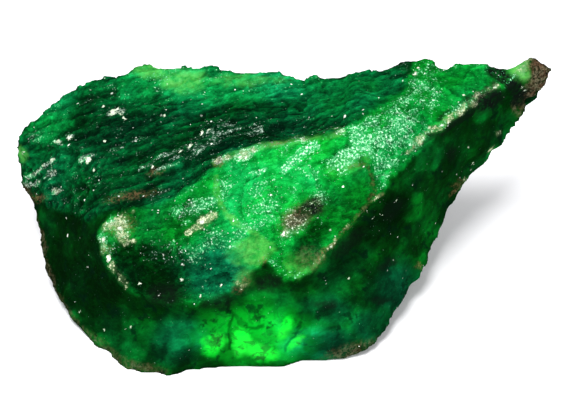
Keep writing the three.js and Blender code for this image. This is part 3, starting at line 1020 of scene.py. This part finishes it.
def green(n):
    """The green itself, finely mottled, with clouds in the lower faces, bluish parts and the painted glow
    of light coming through near the foot.
    """
    tone, veined = n.mask["tone"], n.mask["veined"]
    mottling = n.times(n.span(n.fine, 0.32, 0.68, -1.0, 1.0), n.span(veined, 0.0, 1.0, 0.18, 0.09))
    puff, _, _ = n.draws(n.cells(n.drifted(n.inward, 1.6, 1.8), 2.2, "SMOOTH_F1"))
    clouds = n.times(n.span(puff, 0.2, 0.8, -0.14, 0.12), n.span(tone, 0.0, 0.3, 0.2, 1.0))
    mottling = n.plus(mottling, n.times(clouds, veined))
    shade = n.steps(n.maths("ADD", tone, mottling, clamp=True), GREENS)
    shade = n.mix(n.mask["teal"], shade, n.mix(1.0, shade, BLUISH, "MULTIPLY"))
    smoky = n.span(n.noise(n.where, 1.3, 4.0, 0.65, 0.6), 0.36, 0.52, 0.35, 1.0)
    # Painted light: the glow near the foot, painted into the colour.
    return n.mix(n.times(n.mask["painted_glow"], smoky), shade, PAINTED_GLOW_GREEN)


def with_flaws(n, shade):
    """Dark healed cracks and blotches in the lower faces."""
    edges = n.cells(n.drifted(n.inward, 2.2, 2.2), 3.6, "DISTANCE_TO_EDGE").outputs["Distance"]
    broken = n.span(n.noise(n.where, 3.0, 2.0), 0.45, 0.62)
    cracks = n.times(n.times(n.span(edges, 0.0, 0.10, 1.0, 0.0), broken), 0.4)
    blotches = n.span(n.noise(n.inward, 2.2, 4.0, 0.6), 0.57, 0.66)
    dark = n.times(n.largest(cracks, blotches), n.times(n.mask["veined"], 0.75))
    return n.mix(dark, shade, FLAW_DARK)


def with_pale_places(n, shade):
    """Pale flakes, rust stains and cream edges."""
    cream = n.mask["cream"]
    flake = n.mix(n.span(n.uneven, 0.35, 0.65), FLAKE_DEEP, FLAKE_LIGHT)
    shade = n.mix(n.times(n.mask["pale"], n.span(n.fine, 0.3, 0.6, 0.5, 1.0)), shade, flake)
    stained = n.span(n.noise(n.where, 0.35, 5.0, 0.75), 0.44, 0.64)
    shade = n.mix(n.times(n.mask["stain"], stained), shade, RUST)
    shade = n.mix(n.times(cream, 0.6), shade, CREAM_GREEN)
    ivory = n.mix(n.span(n.uneven, 0.42, 0.66), IVORY_DEEP, IVORY_LIGHT)
    torn = n.largest(n.ragged(cream, n.where, 0.9), n.ragged(cream, n.where, 0.4))
    creamy = n.span(n.noise(n.where, 0.32, 4.0, 0.75), 0.42, 0.58, 0.10, 1.0)
    return n.mix(n.times(torn, creamy), shade, ivory)


def with_crusts(n, shade):
    """Brown crust and black mica."""
    earth = n.mix(n.span(n.uneven, 0.42, 0.58), EARTH_BROWN, EARTH_OLIVE)
    brown = n.mix(n.span(n.grit, 0.40, 0.62), SOIL_DARK, earth)
    brown = n.mix(n.span(n.noise(n.where, 0.30, 2.0, 0.6), 0.60, 0.66), brown, SOIL_BLACK)
    crusted = n.maths("MULTIPLY", n.mask["crust"], n.span(n.grit, 0.25, 0.42), clamp=True)
    shade = n.mix(crusted, shade, brown)
    scaly = n.span(n.noise(n.where, 0.8, 3.0, 0.7), 0.42, 0.60, 1.0, 0.7)
    return n.mix(n.times(n.mask["mica"], scaly), shade, MICA_BLACK)


def round_specks(n, dense):
    """Painted glints, single round specks of several sizes, more of them where the grains are dense."""
    scattered = n.drifted(n.where, 0.35, 0.35)
    dots = []
    for size, most in SPECKS:
        cells = n.cells(scattered, size)
        chance, brightness, width = n.draws(cells)
        radius = n.span(width, 0.2, 1.0, 0.10, 0.32)
        dot = n.span(n.minus(radius, cells.outputs["Distance"]), 0.0, 0.14)
        chosen = n.maths("GREATER_THAN", n.span(dense, 0.0, 0.8, 0.012, most), chance)
        dots.append(n.times(n.times(dot, chosen), n.span(brightness, 0.1, 0.9, 0.2, 1.0)))
    return n.largest(*dots)


def with_grains_and_painted_glints(n, shade):
    """Glittering grains, as dense as the frost and glint mask says: mint, grey or earthy, as the ground
    is.

    They are frosted crystal with painted glints: a mist too fine to tell apart, sugar, larger flakes in
    clusters that run along the ridges, the placed painted glints, and single specks. Returns the colour
    and how much grain is where.
    """
    frost_and_painted_glints = n.mask["frost_and_painted_glints"]
    sparse = n.span(frost_and_painted_glints, 0.40, 0.70, 0.5, 0.78)
    clusters = n.span(n.noise(n.along, 1.3, 3.0, 0.6), 0.34, 0.60, sparse, 1.15)
    dense = n.times(frost_and_painted_glints, clusters)

    mist = n.by_ground(MISTS)
    shade = n.mix(n.span(dense, 0.4, 1.1, 0.0, 0.30), shade, mist)
    sugar = n.minus(n.noise(n.where, 0.27, 2.0, 0.65), n.span(dense, 0.0, 1.0, 0.68, 0.43))
    flakes = n.minus(n.noise(n.along, 0.5, 5.0, 0.8, 0.4), n.span(dense, 0.0, 1.0, 0.69, 0.50))
    grains_and_painted_glints = n.largest(sugar, flakes)
    shade = n.mix(n.span(grains_and_painted_glints, 0.0, 0.12, 0.0, 0.85), shade, mist)
    shade = n.mix(n.span(grains_and_painted_glints, 0.04, 0.26), shade, n.by_ground(WHITES))

    # Painted glints, single bright spots.
    painted_glints = n.ragged(n.mask["painted_glint"], n.where, 0.45)
    shade = n.mix(painted_glints, shade, n.mix(n.span(n.grit, 0.40, 0.60), GLINT_DULL, GLINT_BRIGHT))
    specks = round_specks(n, dense)
    shade = n.mix(specks, shade, n.mix(n.light, SPECK_GREY, SPECK_MINT))
    return shade, n.largest(n.span(grains_and_painted_glints, 0.0, 0.25), specks, painted_glints)


def fine_relief(n, grains_and_painted_glints):
    """Relief too fine for the mesh: pits, with the grains standing out."""
    pits = n.noise(n.where, 0.35, 4.0, 0.65)
    bump = n.add("ShaderNodeBump")
    bump.inputs["Distance"].default_value = BUMP_MM * MM
    n.put(n.span(n.mask["frost_and_painted_glints"], 0.0, 0.6, 0.35, 1.0), bump.inputs["Strength"])
    n.put(n.plus(pits, n.times(grains_and_painted_glints, 0.6)), bump.inputs["Height"])
    return bump.outputs["Normal"]


def clearness(n):
    """How much light goes through: most where the glow is painted and in the pale flakes, none through
    crusts.
    """
    opaque = n.largest(n.mask["crust"], n.mask["mica"], n.times(n.mask["frost_and_painted_glints"], 0.8))
    clear = n.span(n.largest(n.mask["painted_glow"], n.mask["pale"]), 0.0, 1.0, 0.005, 0.16)
    return n.maths("SUBTRACT", clear, n.times(opaque, 0.1), clamp=True)


def crystal_material(mask_names):
    """Included emerald: deep to bright green, a little clear, with white grains and crusts, and with a
    painted glow and painted glints.
    """
    n = Crystal(mask_names)
    shade = green(n)
    for finish in (with_flaws, with_pale_places, with_crusts):
        shade = finish(n, shade)
    shade, grains_and_painted_glints = with_grains_and_painted_glints(n, shade)

    shader = n.add("ShaderNodeBsdfPrincipled")
    shader.inputs["IOR"].default_value = IOR
    shader.inputs["Specular IOR Level"].default_value = 0.0
    n.put(shade, shader.inputs["Base Color"])
    n.put(n.span(n.mask["frost_and_painted_glints"], 0.0, 0.7, 0.30, 0.5), shader.inputs["Roughness"])
    n.put(clearness(n), shader.inputs["Transmission Weight"])
    n.put(fine_relief(n, grains_and_painted_glints), shader.inputs["Normal"])
    depth = n.add("ShaderNodeVolumeAbsorption")
    depth.inputs["Color"].default_value = VOLUME_GREEN
    depth.inputs["Density"].default_value = ABSORPTION
    return n.finished(shader.outputs[0], depth.outputs[0])


# --- The studio ----------------------------------------------------------------------------------------

FLOOR_HALF = 3.0
ROOM_LIGHT = 0.5
# Soft lights in metres and watts: name, place, size, power.
LIGHTS = (
    ("key", (-0.10, -0.16, 0.52), 0.26, 4.4),
    ("fill", (0.30, -0.35, 0.30), 0.30, 1.2),
)


def floor_material():
    n = Nodes("pale_floor")
    shader = n.add("ShaderNodeBsdfPrincipled")
    shader.inputs["Base Color"].default_value = colour(0.86, 0.86, 0.88)
    shader.inputs["Roughness"].default_value = 0.6
    return n.finished(shader.outputs[0])


def soft_light(name, place, size, power, middle):
    """A square light that faces the stone."""
    data = bpy.data.lights.new(name, "AREA")
    data.size = size
    data.energy = power
    light = bpy.data.objects.new(name, data)
    light.location = place
    light.rotation_euler = (middle - light.location).to_track_quat("-Z", "Y").to_euler()
    bpy.context.scene.collection.objects.link(light)


def studio(middle):
    """A pale floor that runs out of sight, white surroundings and soft light, most of it from above."""
    mesh = bpy.data.meshes.new("floor")
    corners = [(x * FLOOR_HALF, y * FLOOR_HALF, 0) for x, y in ((-1, -1), (1, -1), (1, 1), (-1, 1))]
    mesh.from_pydata(corners, [], [(0, 1, 2, 3)])
    mesh.materials.append(floor_material())
    floor = bpy.data.objects.new("floor", mesh)
    bpy.context.scene.collection.objects.link(floor)

    world = bpy.data.worlds.new("white_room")
    world.use_nodes = True
    background = world.node_tree.nodes["Background"]
    background.inputs["Color"].default_value = colour(1.0, 1.0, 1.0)
    background.inputs["Strength"].default_value = ROOM_LIGHT
    bpy.context.scene.world = world
    for name, place, size, power in LIGHTS:
        soft_light(name, place, size, power, middle)
    bpy.context.scene.view_settings.view_transform = "Standard"


def camera(middle):
    """Looks square at the leaning broad face, from far enough that it is seen with little perspective."""
    distance = CAMERA_DISTANCE * MM
    data = bpy.data.cameras.new("camera")
    data.sensor_width = 36.0
    data.lens = data.sensor_width * distance / (FRAME_WIDTH * MM)
    data.clip_start = 0.01
    made = bpy.data.objects.new("camera", data)
    aim = middle + (Vector(U) * SIGHT[0] + Vector(V) * SIGHT[1] - Vector(W) * AIM_DEPTH) * MM
    made.location = aim + Vector(W) * distance
    made.rotation_euler = (math.pi / 2 - LEAN, 0, 0)
    bpy.context.scene.collection.objects.link(made)
    bpy.context.scene.camera = made


def main():
    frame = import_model()
    low, high = (np.array(corner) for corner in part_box(NODE))
    middle = low + (high - low) * FACE_MIDDLE

    stone = remeshed(frame["nodes"][NODE])
    relief = break_up(stone.data, middle / MM)
    masks = finish_masks(Zones(stone.data, middle / MM, relief))
    store_masks(stone.data, masks)
    stone.data.materials.append(crystal_material(tuple(masks)))
    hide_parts(NODE)
    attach(stone, "root")

    studio(Vector(middle))
    camera(Vector(middle))


main()
